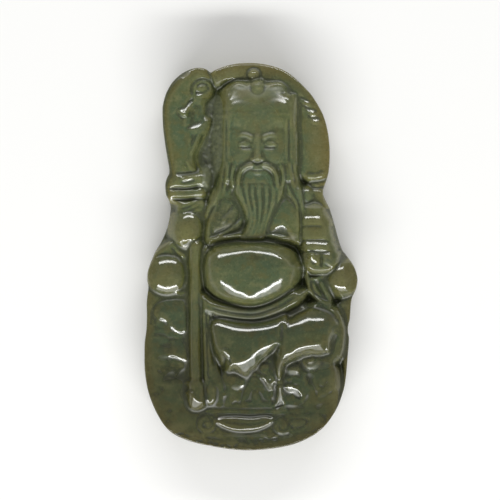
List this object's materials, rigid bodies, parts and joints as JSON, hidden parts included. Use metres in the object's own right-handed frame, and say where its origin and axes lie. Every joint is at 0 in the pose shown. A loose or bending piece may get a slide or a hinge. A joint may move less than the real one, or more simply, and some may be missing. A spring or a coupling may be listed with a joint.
{
  "type": "jade pendant",
  "caption": "Flat-backed carved stone pendant with a seated figure in relief, a bladed staff at its side and a slanting cord hole behind the crown.",
  "frame": {"origin": "middle of the carving's bounding box, on the flat back", "axes": "+Z out of the carved face, +Y towards the figure's head and the cord hole, +X to the right as the carved face is seen"},
  "size_m": [0.0297, 0.054, 0.0083],
  "materials": {
    "jade": "polished"
  },
  "bodies": {
    "root": {"jade_carving": "jade"}
  },
  "joints": []
}
